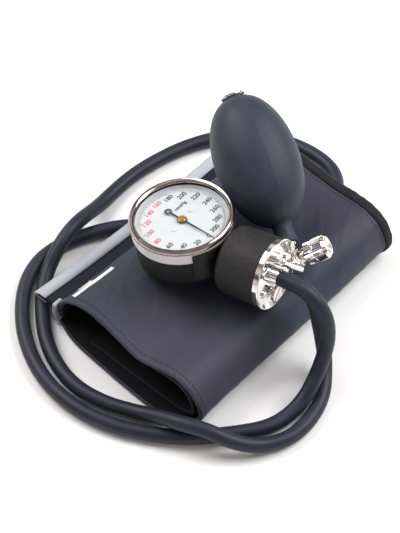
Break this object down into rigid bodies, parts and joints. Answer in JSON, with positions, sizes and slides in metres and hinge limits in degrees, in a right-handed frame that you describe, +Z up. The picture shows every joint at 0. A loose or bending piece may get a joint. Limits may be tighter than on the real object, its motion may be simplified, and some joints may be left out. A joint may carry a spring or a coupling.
{
  "type": "upper arm blood pressure monitor",
  "caption": "Rolled inflatable arm cuff with a round dial gauge and hand collar, a knurled bleed valve, a rubber squeeze bulb and rubber hoses.",
  "frame": {"origin": "middle of the footprint of the cuff and hand piece, on the surface they lie on", "axes": "+Z up, +Y along the axis of the rolled cuff, +X across it"},
  "size_m": [0.2113, 0.244, 0.1046],
  "materials": {
    "nylon_cloth": "woven nylon, slight sheen",
    "satin_tape": "satin",
    "hook_and_loop": "napped",
    "bladder_rubber": "matte",
    "black_plastic": "satin moulded",
    "textured_plastic": "fine spark texture",
    "chrome": "polished",
    "clear_glass": "polished",
    "seal_rubber": "matte",
    "white_enamel": "satin",
    "black_paint": "satin",
    "brass": "turned",
    "spring_bronze": "rolled",
    "steel": "turned",
    "bulb_rubber": "matte",
    "hose_rubber": "satin"
  },
  "bodies": {
    "cuff_and_handpiece": {"cuff_outer_wrap": "nylon_cloth", "cuff_inner_roll": "nylon_cloth", "cuff_flap": "nylon_cloth", "flap_end_tape": "satin_tape", "hook_patch": "hook_and_loop", "loop_patch": "hook_and_loop", "bladder": "bladder_rubber", "bladder_port": "bladder_rubber", "hose_grommet": "bladder_rubber", "gauge_case": "black_plastic", "bezel_ring": "chrome", "crystal_lens": "clear_glass", "lens_gasket": "seal_rubber", "dial_surround": "white_enamel", "dial_plate": "white_enamel", "dial_screws": "steel", "dial_spacers": "brass", "hairspring": "spring_bronze", "movement_top_plate": "brass", "movement_bottom_plate": "brass", "movement_pillars": "brass", "movement_screws": "steel", "pressure_capsule": "spring_bronze", "capsule_inlet": "brass", "collar_sleeve": "textured_plastic", "end_plate": "chrome", "end_screws": "chrome", "air_manifold": "brass", "gauge_tube": "brass", "port_plug": "chrome", "upper_hose_nipple": "chrome", "lower_hose_nipple": "chrome", "valve_arm": "chrome", "valve_body": "chrome", "valve_seat": "brass", "gland_packing": "seal_rubber", "gland_nut": "chrome", "bulb": "bulb_rubber", "bulb_nipple": "chrome", "outlet_seat": "brass", "inlet_valve_body": "chrome", "inlet_screen": "steel", "upper_hose": "hose_rubber", "lower_hose": "hose_rubber"},
    "pointer": {"pointer": "black_paint", "pointer_hub": "brass", "pointer_arbor": "brass"},
    "sector": {"sector_gear": "brass", "sector_shaft": "steel"},
    "rocker": {"rocker_arm": "brass"},
    "stud": {"capsule_stud": "brass"},
    "needle": {"valve_needle": "steel"},
    "knob": {"release_knob": "chrome"},
    "outlet_ball_body": {"outlet_ball": "steel"},
    "inlet_ball_body": {"inlet_ball": "steel"}
  },
  "joints": [
    {"name": "sector_turn", "type": "hinge", "parent": "cuff_and_handpiece", "child": "sector", "pos_m": [0.00306, -0.02791, 0.0603], "axis": [-0.14, 0, 0.9901], "range_deg": [0, 42.75], "stiffness_Nm_per_rad": 0.0002},
    {"name": "pointer_turn", "type": "hinge", "parent": "cuff_and_handpiece", "child": "pointer", "pos_m": [-0.0058, -0.0162, 0.075], "axis": [-0.14, 0, 0.9901], "range_deg": [-342, 0]},
    {"name": "rocker_turn", "type": "hinge", "parent": "cuff_and_handpiece", "child": "rocker", "pos_m": [0.00164, -0.02357, 0.05323], "axis": [-0.169, 0.9853, -0.0239], "range_deg": [0, 16.7]},
    {"name": "stud_lift", "type": "slide", "parent": "cuff_and_handpiece", "child": "stud", "axis": [-0.14, 0, 0.9901], "range_m": [0, 0.0009]},
    {"name": "needle_travel", "type": "slide", "parent": "cuff_and_handpiece", "child": "needle", "axis": [0.5875, 0.5985, 0.5446], "range_m": [0, 0.0014]},
    {"name": "knob_turn", "type": "hinge", "parent": "needle", "child": "knob", "pos_m": [0.05971, 0.02828, 0.05507], "axis": [0.5875, 0.5985, 0.5446], "range_deg": [0, 720]},
    {"name": "outlet_ball_lift", "type": "slide", "parent": "cuff_and_handpiece", "child": "outlet_ball_body", "axis": [0.8071, -0.3844, -0.4482], "range_m": [0, 0.0012]},
    {"name": "inlet_ball_lift", "type": "slide", "parent": "cuff_and_handpiece", "child": "inlet_ball_body", "axis": [0.8071, -0.3844, -0.4482], "range_m": [0, 0.0006]}
  ],
  "couplings": [
    {"joint": "pointer_turn", "follows": "sector_turn", "ratio": -8},
    {"joint": "rocker_turn", "follows": "sector_turn", "ratio": 0.39},
    {"joint": "stud_lift", "follows": "sector_turn", "m_per_rad": 0.00115},
    {"joint": "knob_turn", "follows": "needle_travel", "rad_per_m": 8975.9}
  ]
}
